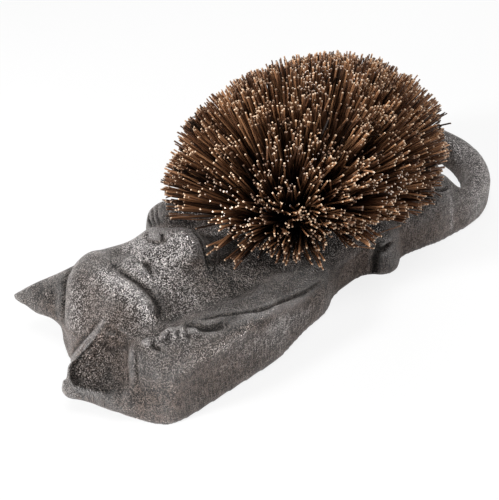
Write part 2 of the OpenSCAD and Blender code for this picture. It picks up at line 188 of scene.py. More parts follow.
SHAFT_STOPS = [(0, (0.012, 0.007, 0.005)), (0.45, (0.105, 0.045, 0.022)), (1, (0.37, 0.185, 0.09))]
SHAFT_RANGE = (0.25, 0.95)
SHADED_ROOT = (0.008, 0.005, 0.004)
CUT_RANGE = (0.985, 0.999)
CUT_TONES = (0.2, 0.9)
CUT_DARK = (0.14, 0.08, 0.05)
CUT_PALE = (0.62, 0.45, 0.31)

# Fasteners
FASTENERS = ("head_screw", "tail_screw", "head_washer", "tail_washer")
SCUFF = (0.8 * MM, 3, 0.6)
ZINC_DARK = (0.42, 0.42, 0.43)
ZINC_PALE = (0.62, 0.62, 0.60)

# Marks of the head, as pixels of the picture
BROW_CREASE = [(112, 266), (122, 274), (138, 284), (148, 292), (157, 304), (161, 319)]
BROW_RIDGE = [(108, 274), (119, 283), (133, 292), (143, 302), (149, 315)]
NOSE_BRIDGE = [(150, 242), (138, 253), (122, 264)]
EYE_HOLLOW = (153, 263)
EYELID = (141, 270)
EYE_SLIT = [(146, 263), (149, 269), (151, 276)]
EYE_PIT = (147, 266)
EYE_EDGE = [(147, 271), (150, 278)]
FOREHEAD = (93, 266)
NOSE_PAD = [(149, 231), (157, 230), (161, 233), (152, 235)]
NOSE_BASE = [(143, 236), (149, 241), (158, 243), (166, 240)]
NEAR_NOSTRIL = [(158, 230), (163, 234), (162, 240)]
FAR_NOSTRIL = [(146, 231), (147, 236)]
WHISKER_PAD = (182, 244)
PAD_EDGE = [(163, 246), (172, 261), (190, 268), (206, 266)]
MOUTH = [(192, 229), (200, 238), (205, 251), (208, 264)]
CHIN = [(205, 235), (210, 249), (213, 258)]
FAR_SOCKET = (124, 250)
SKULL_EDGE = [(80, 268), (74, 282), (72, 298), (71, 315), (72, 332)]
FAR_EAR_BASE = [(71, 266), (65, 280), (63, 295), (62, 310), (62, 320)]

# Marks of the near ear, with the slope in pixels inside each side of its hollow
EAR_RIM = [(104, 321), (96, 330), (88, 339), (80, 348), (73, 359), (68, 372), (65, 384), (65, 391)]
EAR_HOLLOW = [
    (101, 328), (91, 341), (82, 352), (75, 367), (71, 380), (74, 386), (86, 390), (112, 392), (127, 384),
    (128, 362), (140, 345), (136, 335), (118, 328),
]
EAR_STEP = [4, 3, 3, 3, 3, 3, 4, 18, 22, 18, 16, 24, 24]
EAR_STEP_DEPTH = 2 * MM
EAR_BOWL = [16, 14, 12, 12, 12, 12, 12, 18, 22, 18, 16, 24, 24]
EAR_BOWL_DEPTH = 3.5 * MM
EAR_BACK = [(97, 325), (85, 338), (74, 352)]
EAR_TOP = [(104, 328), (115, 331), (124, 338), (128, 350)]
EAR_SIDES = [[(127, 350), (127, 364), (128, 382)], [(135, 348), (136, 364), (137, 380)]]
EAR_RIDGE = [(131, 346), (131, 365), (133, 386)]

# Marks of the limbs
TOE_NUB = (147, 343)
TOE_NOTCH = [(151, 340), (155, 347), (162, 350)]
TOES = [(165, 336), (171, 332), (176, 335), (182, 331), (189, 333), (195, 331)]
TOE_SIZES = [2.2, 2.6, 1.7, 2.8, 1.8, 2.2]
TOE_GAPS = [
    [(168, 329), (169, 337), (166, 342)],
    [(177, 328), (179, 338)],
    [(186, 327), (186, 334), (190, 339)],
]
ARM_GROOVE = [(206, 319), (220, 315), (238, 313), (256, 310), (272, 305), (288, 299), (306, 292), (320, 282)]
ARM_NOTCH = [(253, 311), (262, 309), (272, 306)]
ARM_PIT = [(193, 326), (207, 327), (224, 325)]
ARM_EDGE = [(226, 326), (246, 319), (266, 313), (290, 304), (312, 294)]
FAR_ARM_FOLDS = [
    [(148, 212), (148, 220), (152, 227)],
    [(152, 207), (152, 218), (156, 226)],
    [(157, 203), (156, 215), (160, 225)],
]
KNEE_CREVICE = [(378, 252), (385, 249), (392, 243)]
KNEE_SIDE = [(379, 243), (376, 256), (374, 274)]
KNEE = (391, 258)
FOOT_KNOB = (440, 178)
FOOT_CREVICE = [(434, 189), (441, 190), (449, 187)]

# Shifts of the skin: from a pixel to another, and their reach
SKULL_SHIFTS = [
    ((90, 259), (89, 255)),
    ((122, 248), (123, 252)),
    ((62, 338), (67, 338)),
    ((38, 306), (38, 311)),
]
SKULL_REACH = 8 * MM
EAR_SHIFT = (76, 367), (70, 366), 6 * MM
PAW_SHIFT = (114, 404), (114, 410), 11 * MM
ELBOW_SHIFT = (320, 307), (325, 307), 10 * MM
KNEE_SHIFT = (393, 262), (397, 262), 9 * MM

# Strokes on the skin, in the order in which they are made: path, width and height in mm
HEAD_FORMS = [
    ([FAR_SOCKET], 9, -2.0),
    ([EYE_HOLLOW], 7, -1.8),
    ([WHISKER_PAD], 12, 3.0),
    (PAD_EDGE, 4, -1.6),
    (NOSE_BRIDGE, 4, 1.4),
]
FACE_FORMS = [
    *(([corner], 3.2, 1.0) for corner in NOSE_PAD),
    ([FOREHEAD], 14, 2.5),
    (SKULL_EDGE, 5, 2.0),
    (FAR_EAR_BASE, 3.0, -3.5),
    (BROW_RIDGE, 4.2, 2.6),
    (BROW_CREASE, 1.5, -1.7),
    ([EYELID], 4.5, 1.8),
]
FACE_LINES = [
    ([EYE_PIT], 2.6, -0.9),
    (EYE_SLIT, 1.0, -0.9),
    (EYE_EDGE, 0.8, 0.6),
    (NOSE_BASE, 1.3, -1.5),
    (NEAR_NOSTRIL, 1.2, -2.0),
    (FAR_NOSTRIL, 1.2, -2.0),
    (MOUTH, 1.1, -2.2),
    (CHIN, 1.8, 0.8),
]
EAR_FORMS = [(EAR_RIM, 1.2, 1.2), (EAR_BACK, 1.6, -1.2)]
EAR_LINES = [(EAR_TOP, 1.5, -0.8), (EAR_RIDGE, 2.0, 0.7), *((side, 1.0, -0.8) for side in EAR_SIDES)]
ARM_FORMS = [(ARM_EDGE, 3.4, 1.4)]
PAW_FORMS = [
    (ARM_GROOVE, 0.9, -1.6),
    (ARM_NOTCH, 1.2, -1.2),
    (ARM_PIT, 2.4, -2.8),
    ([TOE_NUB], 2.4, 2.6),
    *(([toe], size, size) for toe, size in zip(TOES, TOE_SIZES)),
]
PAW_LINES = [
    *((gap, 0.9, -1.8) for gap in TOE_GAPS),
    (TOE_NOTCH, 0.9, -1.8),
    *((fold, 0.9, -1.6) for fold in FAR_ARM_FOLDS),
]
LEG_FORMS = [
    ([KNEE], 6, 1.2),
    (KNEE_CREVICE, 1.6, -3.0),
    (KNEE_SIDE, 2.0, -2.0),
    ([FOOT_KNOB], 5, 2.5),
    (FOOT_CREVICE, 1.4, -2.0),
]

# Places that are only marked in colour, for wear, grime, painted light and painted shade, as pixels of the
# picture
MUZZLE_TOP = [(166, 252), (176, 246), (188, 240)]
MUZZLE_BACK = [(147, 221), (165, 219), (190, 222)]
NOSE_SIDE = [(133, 246), (142, 240)]
LID_FOLD = [(138, 266), (146, 277)]
CHEEK = [(185, 292)]
SKULL_SIDE = [(77, 296), (76, 326)]
EAR_FLOOR = [(98, 372), (112, 374)]
EAR_LOW = [(80, 391), (108, 393)]
FAR_EAR = [(40, 296)]
TOE_TOPS = [(195, 331), (166, 336), (147, 343)]
PAW_LOW = [(130, 398), (152, 402)]
PAW_FRONT = [(150, 370), (163, 380)]
ELBOW = [(278, 319), (306, 313)]
ARM_SIDE = [(245, 344), (278, 335)]
NECK = [(212, 276), (238, 286)]
CHEST = [(225, 310), (262, 297), (312, 278)]
UNDER_BRUSH = [(260, 271), (325, 271)]
FLANK = [(340, 262), (312, 275)]
KNEE_FRONT = [(385, 250), (392, 262)]
RUMP = [(420, 215), (440, 182)]
FOOT_EDGE = [(451, 197), (452, 232)]
TAIL = [(462, 150), (484, 180), (478, 210)]

# Where the iron is painted pale, partly for wear and partly as painted light (muzzle, brow, lid, cheek, toe
# tops, ear rim and foot edge highlights, elbow, arm side, skull side, tail), or dark, partly for grime and
# partly as painted shade (creases, pits and hollows, chest, neck and flank under the brush, paw near the
# floor, far ear, knee, rump): path, reach in mm and strength
WEAR_GRIME_LIGHT_AND_SHADE = [
    (MUZZLE_TOP, 10, 1.0),
    (NOSE_SIDE, 6, 0.9),
    (LID_FOLD, 8, 0.9),
    (BROW_RIDGE, 6, 0.8),
    (CHEEK, 14, 0.35),
    (EAR_FLOOR, 12, -0.1),
    (TOE_TOPS, 3, 0.6),
    (FOOT_EDGE, 1.5, 0.8),
    (BROW_CREASE, 3, -0.9),
    (MOUTH, 2, -0.9),
    (NOSE_BASE, 2, -0.6),
    (NEAR_NOSTRIL, 2, -1.0),
    (EYE_SLIT, 1.2, -0.6),
    ([EYE_PIT], 2.5, -0.8),
    (MUZZLE_BACK, 4, -0.8),
    (EAR_HOLLOW[:6], 1.2, -0.8),
    (EAR_TOP, 2, -0.4),
    (EAR_RIM, 1.0, 0.5),
    (EAR_HOLLOW[5:8], 1.5, -0.7),
    (CHEST, 11, -0.8),
    (NECK, 10, -0.8),
    (UNDER_BRUSH, 6, -0.6),
    (ARM_GROOVE, 1.5, -0.6),
    (ARM_PIT, 5, -1.0),
    (FAR_EAR_BASE, 5, -0.6),
    (TAIL, 12, 0.5),
    (FAR_EAR, 14, -0.6),
    (EAR_BACK, 2, -0.5),
    (KNEE_SIDE, 3, -0.8),
    (ARM_EDGE[:3], 5, -0.6),
    (ELBOW, 8, 0.45),
    (PAW_LOW, 12, -0.35),
    (PAW_FRONT, 12, -0.4),
    (ARM_SIDE, 12, 0.3),
    (SKULL_SIDE, 7, 0.4),
    (EAR_LOW, 6, -0.8),
    (KNEE_FRONT, 11, -0.7),
    (FLANK, 8, -0.5),
    (RUMP, 10, -0.5),
]


def deselect():
    """Nothing stays selected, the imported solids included."""
    if bpy.context.object and bpy.context.object.mode != "OBJECT":
        bpy.ops.object.mode_set(mode="OBJECT")
    bpy.ops.object.select_all(action="DESELECT")


def take(piece):
    """The piece alone is selected and active."""
    deselect()
    piece.select_set(True)
    bpy.context.view_layer.objects.active = piece


def apply_modifier(piece, kind, **settings):
    modifier = piece.modifiers.new(kind.lower(), kind)
    for key, value in settings.items():
        setattr(modifier, key, value)
    take(piece)
    bpy.ops.object.modifier_apply(modifier=modifier.name)


def copy_solid(node, name):
    """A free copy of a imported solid, with its triangles merged and its finish taken off."""
    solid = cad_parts[node]
    piece = bpy.data.objects.new(name, solid.data.copy())
    bpy.context.scene.collection.objects.link(piece)
    piece.data.materials.clear()
    take(piece)
    bpy.ops.mesh.customdata_custom_splitnormals_clear()
    bpy.ops.object.mode_set(mode="EDIT")
    bpy.ops.mesh.select_all(action="SELECT")
    bpy.ops.mesh.remove_doubles(threshold=MERGE_GAP)
    bpy.ops.object.mode_set(mode="OBJECT")
    return piece


def keep_values(mesh, name, values):
    """One value for each point of a mesh, for its finish to read."""
    layer = mesh.attributes.new(name, "FLOAT", "POINT")
    layer.data.foreach_set("value", values.astype(np.float32))


def dress(piece, finish, node):
    """The piece gets its finish, rides on the object and stands for its solid."""
    piece.data.materials.clear()
    piece.data.materials.append(finish)
    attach(piece, BODY)
    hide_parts(node)


# Finishes


class Signal:
    """A socket of a finish. Sums on it add Math nodes, and node() adds any other node."""

    def __init__(self, tree, socket=None):
        self.tree = tree
        self.socket = socket

    def node(self, kind, settings=None, inputs=None, output=0):
        made = self.tree.nodes.new("ShaderNode" + kind)
        for key, value in (settings or {}).items():
            if key == "stops":
                self.set_stops(made.color_ramp, value)
            else:
                setattr(made, key, value)
        for key, value in (inputs or {}).items():
            if isinstance(value, Signal):
                self.tree.links.new(value.socket, made.inputs[key])
            else:
                made.inputs[key].default_value = value
        return Signal(self.tree, made.outputs[output] if made.outputs else None)

    @staticmethod
    def set_stops(ramp, stops):
        while len(ramp.elements) < len(stops):
            ramp.elements.new(1)
        for element, (position, colour) in zip(ramp.elements, stops):
            element.position = position
            element.color = (*colour, 1)

    def math(self, operation, a, b):
        return self.node("Math", {"operation": operation}, {0: a, 1: b})

    def __add__(self, other):
        return self.math("ADD", self, other)

    __radd__ = __add__

    def __sub__(self, other):
        return self.math("SUBTRACT", self, other)

    def __rsub__(self, other):
        return self.math("SUBTRACT", other, self)

    def __mul__(self, other):
        return self.math("MULTIPLY", self, other)

    __rmul__ = __mul__

    def clamp(self):
        return self.math("MINIMUM", self.math("MAXIMUM", self, 0.0), 1.0)

    def ramp(self, low, high):
        """0 below low, 1 above high and smooth between."""
        inputs = {"Value": self, "From Min": low, "From Max": high}
        return self.node("MapRange", {"interpolation_type": "SMOOTHSTEP"}, inputs)

    def mixed(self, a, b):
        """Colour a where this is 0, colour b where it is 1."""
        colours = {6: a if isinstance(a, Signal) else (*a, 1), 7: b if isinstance(b, Signal) else (*b, 1)}
        return self.node("Mix", {"data_type": "RGBA"}, {0: self, **colours}, 2)

    def noise(self, size, detail, roughness, stretch=(1, 1, 1)):
        """Noise whose features measure about size, drawn out by stretch."""
        place = self.node("Mapping", None, {"Vector": self, "Scale": [1 / s for s in stretch]})
        inputs = {"Vector": place, "Scale": 1 / size, "Detail": detail, "Roughness": roughness}
        return self.node("TexNoise", None, inputs)

    def place(self):
        """Where a point lies on the piece."""
        return self.node("TexCoord", None, None, "Object")

    def attribute(self, name):
        return self.node("Attribute", {"attribute_name": name}, None, "Fac")


def new_finish(name, paint):
    """A material whose shader comes from paint, a function of a blank signal."""
    finish = bpy.data.materials.new(name)
    finish.use_nodes = True
    finish.node_tree.nodes.clear()
    blank = Signal(finish.node_tree)
    blank.node("OutputMaterial", None, {"Surface": paint(blank)})
    return finish


def shader(blank, colour, roughness, height=None, metallic=0.0):
    """The main shader, with a height map in millimetres as its bump."""
    inputs = {"Base Color": colour, "Roughness": roughness, "Metallic": metallic}
    if height is not None:
        inputs["Normal"] = blank.node("Bump", None, {"Height": height, "Distance": MM})
    return blank.node("BsdfPrincipled", None, inputs)


def paint_iron(blank):
    place = blank.place()
    steep = blank.attribute("steep")
    crest = blank.attribute("crest")
    cavity = blank.attribute("cavity")
    rubbed = blank.attribute("rubbed")
    grain = place.noise(*GRAIN)
    speck = place.noise(*SPECK)
    lumps = place.noise(*LUMPS)
    streaks = place.noise(*STREAKS)
    patch = place.noise(*PATCHES)
    mottle = place.noise(*MOTTLE)
    sand = 0.65 * grain + 0.35 * speck + 0.5 * steep * (streaks - 0.5) + 0.25 * (mottle - 0.5)
    sand = sand.ramp(SAND_LOW - STEEP_BLUR * steep, SAND_HIGH + STEEP_BLUR * steep)
    glint = GLINT_SHARE * (0.6 * speck + 0.4 * grain).ramp(*GLINT_RANGE) * (1 - steep)
    # The skin's marks of wear and grime, with their painted light and painted shade, given ragged edges
    rubbed = rubbed + 0.5 * (grain - 0.5) + 0.4 * (mottle - 0.5)
    # Walls are painted browner than the tops, whose greyer tone stands for the sheen they catch; the patches
    # are the iron's own tone
    brown = (0.5 * patch.ramp(*PATCH_RANGE) + 0.8 * steep).clamp()
    dark = brown.mixed(DARK_GREY, DARK_BROWN)
    pale = brown.mixed(PALE_GREY, PALE_BROWN)
    shade = glint.mixed(sand.mixed(dark, pale), GLINT_COLOUR)
    # Pale where the iron is worn and where light is painted, dark where it is grimy and where shade is
    # painted
    shade = rubbed.ramp(*WEAR_LIGHT_AND_SHADE_RANGE).mixed(shade, sand.mixed(WORN_AND_LIT_DARK, WORN_AND_LIT_PALE))
    shade = (1 - rubbed).ramp(*WEAR_LIGHT_AND_SHADE_RANGE).mixed(shade, sand.mixed(GRIME_AND_SHADE_DARK, GRIME_AND_SHADE_PALE))
    # Painted sheen on ridges, partly polish, and painted shade in hollows, partly dust
    shade = (crest * CREST_SHARE).mixed(shade, RIDGE_POLISH_AND_SHEEN)
    colour = (cavity * CAVITY_SHARE).mixed(shade, HOLLOW_DUST_AND_SHADE)
    roughness = 0.28 + 0.2 * speck + 0.2 * cavity - 0.1 * rubbed
    height = 3 * grain + 0.5 * speck + 3 * mottle + 2 * lumps + 0.6 * steep * streaks
    return shader(blank, colour, roughness, height, IRON_METALLIC)


def paint_block(blank):
    fibre = blank.place().noise(*WOOD_GRAIN)
    colour = fibre.mixed(STAIN_DARK, STAIN_PALE)
    return shader(blank, colour, 0.34 + 0.2 * fibre, 0.05 * fibre)


def paint_bristle(blank):
    along = blank.attribute("along")
    tone = blank.attribute("tone")
    shaft = tone.node("ValToRGB", {"stops": SHAFT_STOPS}, {0: tone})
    # Darker toward the root: painted shade down among the bristles
    colour = along.ramp(*SHAFT_RANGE).mixed(SHADED_ROOT, shaft)
    cut_end = tone.ramp(*CUT_TONES).mixed(CUT_DARK, CUT_PALE)
    colour = along.ramp(*CUT_RANGE).mixed(colour, cut_end)
    return shader(blank, colour, 0.30 + 0.12 * tone)


def paint_zinc(blank):
    scuff = blank.place().noise(*SCUFF)
    colour = scuff.mixed(ZINC_DARK, ZINC_PALE)
    return shader(blank, colour, 0.25 + 0.2 * scuff, 0.02 * scuff, metallic=1.0)


# Camera, floor and light


def photo_camera():
    bpy.ops.object.camera_add(location=CAMERA_AT, rotation=CAMERA_TURN.to_euler())
    camera = bpy.context.object
    camera.data.sensor_width = SENSOR
    camera.data.lens = FOCAL_PX * SENSOR / PICTURE_H
    camera.data.clip_start = CLIP_START
    bpy.context.scene.camera = camera


def seen_white(blank):
    """1 for the rays of the camera, which see a white background."""
    return blank.node("LightPath", None, None, "Is Camera Ray")


def paint_floor(blank):
    plain = blank.node("BsdfDiffuse", None, {"Color": FLOOR_GREY})
    white = blank.node("Emission", None, {"Color": WHITE, "Strength": 1.0})
    share = seen_white(blank) * FLOOR_WHITE
    return share.node("MixShader", None, {0: share, 1: plain, 2: white})


def pale_floor():
    deselect()
    bpy.ops.mesh.primitive_plane_add(size=FLOOR_SIZE, location=(0, 0, -FLOOR_DROP))
    floor = bpy.context.object
    floor.name = "floor"
    floor.data.materials.append(new_finish("pale_floor", paint_floor))


def studio_light():
    world = bpy.data.worlds.new("white_room")
    bpy.context.scene.world = world
    world.use_nodes = True
    world.node_tree.nodes.clear()
    blank = Signal(world.node_tree)
    strength = seen_white(blank) * (1 - WORLD_LIGHT) + WORLD_LIGHT
    room = blank.node("Background", None, {"Color": WHITE, "Strength": strength})
    blank.node("OutputWorld", None, {"Surface": room})
    for name, at, size, power in SOFTBOXES:
        aim = (LIGHT_TO - Vector(at)).to_track_quat("-Z", "Y")
        bpy.ops.object.light_add(type="AREA", location=at, rotation=aim.to_euler())
        lamp = bpy.context.object
        lamp.name = name
        lamp.data.size = size
        lamp.data.energy = power


# Iron cat


def sight(pixel):
    """Direction from the camera through a pixel of the picture."""
    u, v = pixel
    return (CAMERA_TURN @ Vector((u - PICTURE_W / 2, PICTURE_H / 2 - v, -FOCAL_PX))).normalized()


class Clay:
    """The cat's skin, pressed in or drawn out where the picture's pixels meet it."""

    def __init__(self, cat):
        self.cat = cat
        self.points = np.empty((len(cat.data.vertices), 3))
        self.facing = np.empty_like(self.points)
        self.wear_light_and_shade_marks = []
        cat.data.vertices.foreach_get("co", self.points.ravel())
        self.settle()

    def settle(self):
        """The points go back to the mesh, and the way that each faces is taken anew."""
        self.cat.data.vertices.foreach_set("co", self.points.ravel())
        self.cat.data.update()
        self.cat.data.vertices.foreach_get("normal", self.facing.ravel())
        self.tree = BVHTree.FromObject(self.cat, bpy.context.evaluated_depsgraph_get())

    def trace(self, path):
        """Places on the skin a pixel apart along a path, and the way that the skin faces there."""
        pixels = [path[0]]
        for a, b in zip(path, path[1:]):
            steps = max(1, round(math.dist(a, b)))
            pixels += [np.add(a, np.subtract(b, a) * (n + 1) / steps) for n in range(steps)]
        hits = [self.tree.ray_cast(CAMERA_AT, sight(pixel)) for pixel in pixels]
        met = [hit for hit in hits if hit[0] is not None]
        return np.array([hit[0] for hit in met]), np.array([hit[1] for hit in met])

    def strokes(self, marks):
        for path, width, height in marks:
            self.draw(path, width * MM, height * MM)

    def draw(self, path, width, height):
        """Draws the skin out along a path of pixels, fading at its ends. A negative height presses it in."""
        spine, facing = self.trace(path)
        reach = STROKE_REACH * width
        inside = (self.points > spine.min(0) - reach) & (self.points < spine.max(0) + reach)
        near = np.flatnonzero(inside.all(1))
        here = self.points[near] - spine[0]
        there = spine - spine[0]
        gaps = (here**2).sum(1)[:, None] + (there**2).sum(1) - 2 * here @ there.T
        closest = gaps.argmin(1)
        share = np.exp(-gaps.min(1).clip(0) / width**2)
        if len(spine) > 1:
            along = closest / (len(spine) - 1)
            share *= np.sqrt(np.clip(np.minimum(along, 1 - along) / END_FADE, END_LEAST, 1))
        share *= np.einsum("ij,ij->i", self.facing[near], facing[closest]).clip(0, 1)
        self.points[near] += (height * share)[:, None] * self.facing[near]

    def shift(self, middle, move, reach):
        """Moves the skin round a place on it, less and less out to the reach."""
        share = np.exp(-((self.points - middle) ** 2).sum(1) / reach**2)
        self.points += share[:, None] * move

    def grab(self, pixel, to, reach):
        """Shifts the skin round a pixel until its middle shows at another pixel."""
        ahead = (CAMERA_TO - CAMERA_AT).normalized()
        middle = self.trace([pixel])[0][0]
        far = (Vector(middle) - CAMERA_AT).dot(ahead)
        was, now = sight(pixel), sight(to)
        self.shift(middle, np.array(far * (now / now.dot(ahead) - was / was.dot(ahead))), reach)

    def slide(self, pixel, to, reach):
        """Shifts the skin round a pixel level with the floor until its middle shows at another pixel."""
        middle = self.trace([pixel])[0][0]
        way = sight(to)
        there = CAMERA_AT + way * ((middle[2] - CAMERA_AT.z) / way.z)
        self.shift(middle, np.array(there) - middle, reach)

    def in_picture(self):
        """The pixel at which the camera has each point."""
        seen = (self.points - np.array(CAMERA_AT)) @ np.array(CAMERA_TURN.to_matrix())
        u = PICTURE_W / 2 - FOCAL_PX * seen[:, 0] / seen[:, 2]
        v = PICTURE_H / 2 + FOCAL_PX * seen[:, 1] / seen[:, 2]
        return np.c_[u, v]

    def hollow(self, outline, edges, depth):
        """Presses in what the camera sees inside an outline of pixels, with a slope along each side."""
        pixels = self.in_picture()
        corners = np.array(outline, float)
        near = np.flatnonzero(((pixels > corners.min(0)) & (pixels < corners.max(0))).all(1))
        gap = np.full(len(near), np.inf)
        crossings = np.zeros(len(near), int)
        x, y = pixels[near].T
        for a, b, edge in zip(corners, np.roll(corners, -1, axis=0), edges):
            along = np.clip((pixels[near] - a) @ (b - a) / ((b - a) @ (b - a)), 0, 1)
            gap = np.minimum(gap, np.linalg.norm(pixels[near] - a - along[:, None] * (b - a), axis=1) / edge)
            spans = (a[1] > y) != (b[1] > y)
            crossings += spans & (x < (b[0] - a[0]) * (y - a[1]) / (b[1] - a[1] + NO_SLOPE) + a[0])
        inside = crossings % 2 == 1
        for i, inset in zip(near[inside], gap[inside]):
            way = Vector(self.points[i]) - CAMERA_AT
            hit = self.tree.ray_cast(CAMERA_AT, way)
            if hit[3] is not None and abs(hit[3] - way.length) < SEEN_DEPTH:
                t = min(1.0, inset)
                self.points[i] += np.array(way.normalized()) * depth * t * t * (3 - 2 * t)

    def mark_wear_light_and_shade(self, path, reach, strength):
        """Keeps where the skin is painted pale for wear and painted light, or dark for grime and painted
        shade if strength is negative, for the finish.
        """
        self.wear_light_and_shade_marks.append((self.trace(path)[0], reach, strength))

    def rubbed(self, points):
        """How pale each point is painted, from 0 for grime and painted shade to 1 for worn iron and painted
        light.
        """
        share = np.full(len(points), UNMARKED)
        for spine, reach, strength in self.wear_light_and_shade_marks:
            gap = np.min([((points - place) ** 2).sum(1) for place in spine[::MARK_STEP]], axis=0)
            share += 0.5 * strength * np.exp(-gap / reach**2)
        return np.clip(share, 0, 1)

    def keep_in(self, low, high):
        """No point leaves the box of the solids."""
        np.clip(self.points, low, high, out=self.points)


def model_face(clay):
    clay.strokes(HEAD_FORMS)
    for pixel, to in SKULL_SHIFTS:
        clay.grab(pixel, to, SKULL_REACH)
    clay.settle()
    clay.strokes(FACE_FORMS)
    clay.settle()
    clay.strokes(FACE_LINES)


def model_ear(clay):
    clay.strokes(EAR_FORMS)
    clay.settle()
    clay.hollow(EAR_HOLLOW, EAR_STEP, EAR_STEP_DEPTH)
    clay.settle()
    clay.hollow(EAR_HOLLOW, EAR_BOWL, EAR_BOWL_DEPTH)
    clay.grab(*EAR_SHIFT)
    clay.settle()
    clay.strokes(EAR_LINES)


def model_limbs(clay):
    clay.slide(*PAW_SHIFT)
    clay.grab(*ELBOW_SHIFT)
    clay.settle()
    clay.strokes(ARM_FORMS)
    clay.settle()
    clay.strokes(PAW_FORMS)
    clay.settle()
    clay.strokes(PAW_LINES)
    clay.grab(*KNEE_SHIFT)
    clay.strokes(LEG_FORMS)


def mark_skin(mesh, clay):
    """Keeps how steep the skin is, how pale it is painted for wear, grime, painted light and painted shade,
    and how far it stands out from the skin around it.
    """
    points = np.empty((len(mesh.vertices), 3))
    facing = np.empty_like(points)
    mesh.vertices.foreach_get("co", points.ravel())
    mesh.vertices.foreach_get("normal", facing.ravel())
    edges = np.empty((len(mesh.edges), 2), np.int32)
    mesh.edges.foreach_get("vertices", edges.ravel())
    count = np.bincount(edges.ravel(), minlength=len(points))[:, None]
    mean = points.copy()
    for _ in range(CREST_ROUNDS):
        total = np.zeros_like(mean)
        np.add.at(total, edges[:, 0], mean[edges[:, 1]])
        np.add.at(total, edges[:, 1], mean[edges[:, 0]])
        mean = total / count
    out = np.einsum("ij,ij->i", points - mean, facing)
    keep_values(mesh, "steep", 1 - np.abs(facing[:, 2]))
    keep_values(mesh, "crest", np.clip(out / CREST_RISE, 0, 1))
    keep_values(mesh, "cavity", np.clip(-out / CREST_RISE, 0, 1))
    keep_values(mesh, "rubbed", clay.rubbed(points))


def rounded_cat():
    """A copy of the casting with its triangles rounded off, its sharp edges kept, and a fine even skin."""
    cat = copy_solid("cat_casting", "iron_cat")
    bpy.ops.object.mode_set(mode="EDIT")
    bpy.ops.mesh.select_all(action="SELECT")
    bpy.ops.mesh.tris_convert_to_quads(face_threshold=QUAD_ANGLE, shape_threshold=QUAD_ANGLE)
    bpy.ops.mesh.select_all(action="DESELECT")
    bpy.ops.mesh.select_mode(type="EDGE")
    bpy.ops.mesh.edges_select_sharp(sharpness=SHARP_EDGE)
    bpy.ops.transform.edge_crease(value=1)
    bpy.ops.object.mode_set(mode="OBJECT")
    apply_modifier(cat, "SUBSURF", levels=ROUND_LEVELS, render_levels=ROUND_LEVELS)
    apply_modifier(cat, "REMESH", mode="VOXEL", voxel_size=VOXEL)
    apply_modifier(cat, "SMOOTH", factor=SMOOTH_FACTOR, iterations=SMOOTH_ROUNDS)
    return cat


def cast_cat(iron):
    cat = rounded_cat()
    low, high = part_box("cat_casting")
    clay = Clay(cat)
    model_face(clay)
    model_ear(clay)
    model_limbs(clay)
    clay.keep_in(low, high)
    clay.settle()
    # Wear and grime, with painted light and painted shade, laid on the skin
    for path, reach, strength in WEAR_GRIME_LIGHT_AND_SHADE:
        clay.mark_wear_light_and_shade(path, reach * MM, strength)
    cat.data.calc_loop_triangles()
    apply_modifier(cat, "DECIMATE", ratio=min(1, SKIN_TRIANGLES / len(cat.data.loop_triangles)))
    mark_skin(cat.data, clay)
    take(cat)
    bpy.ops.object.shade_smooth()
    dress(cat, iron, "cat_casting")
    return cat


# Brush


def brush_sizes():
    """Middle of the block, its half length and half width, its underside and the foot of its crown."""
    low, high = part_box("brush_block")
    half_length = (high.x - low.x) / 2 + BLOCK_FLAT
    return (low.x + high.x) / 2, half_length, high.y, low.z, high.z + BLOCK_EDGE


def brush_block(stain):
    middle, half_length, half_width, low_z, crown_foot = brush_sizes()
    deselect()
    bpy.ops.mesh.primitive_uv_sphere_add(segments=BLOCK_SEGMENTS, ring_count=BLOCK_SEGMENTS // 2, radius=1)
    block = bpy.context.object
    block.name = "stained_block"
    bpy.ops.object.mode_set(mode="EDIT")
    bpy.ops.transform.resize(value=(half_length, half_width, BLOCK_CROWN))
    bpy.ops.transform.translate(value=(middle, 0, crown_foot))
    bpy.ops.mesh.select_all(action="SELECT")
    bpy.ops.mesh.bisect(
        plane_co=(middle, 0, crown_foot), plane_no=(0, 0, 1), clear_inner=True, use_fill=False
    )
    bpy.ops.mesh.extrude_region_move(TRANSFORM_OT_translate={"value": (0, 0, low_z - crown_foot)})
    bpy.ops.mesh.edge_face_add()
    bpy.ops.mesh.select_all(action="SELECT")
    bpy.ops.mesh.remove_doubles(threshold=MERGE_GAP)
    bpy.ops.mesh.normals_make_consistent(inside=False)
    bpy.ops.object.mode_set(mode="OBJECT")
    bpy.ops.object.shade_smooth_by_angle(angle=SHARP_EDGE)
    dress(block, stain, "brush_block")


def one_bristle():
    """Points and faces of a cut bristle of unit length along Z."""
    deselect()
    bpy.ops.mesh.primitive_cylinder_add(
        vertices=BRISTLE_SIDES, radius=BRISTLE_R, depth=1, location=(0, 0, 0.5)
    )
    bristle = bpy.context.object
    bpy.ops.object.transform_apply(location=True, rotation=False, scale=False)
    bpy.ops.object.mode_set(mode="EDIT")
    for cut in BRISTLE_CUTS:
        bpy.ops.mesh.select_all(action="SELECT")
        bpy.ops.mesh.bisect(plane_co=(0, 0, cut), plane_no=(0, 0, 1))
    bpy.ops.object.mode_set(mode="OBJECT")
    points = np.array([v.co for v in bristle.data.vertices])
    faces = [list(p.vertices) for p in bristle.data.polygons]
    bpy.data.objects.remove(bristle)
    return points, faces


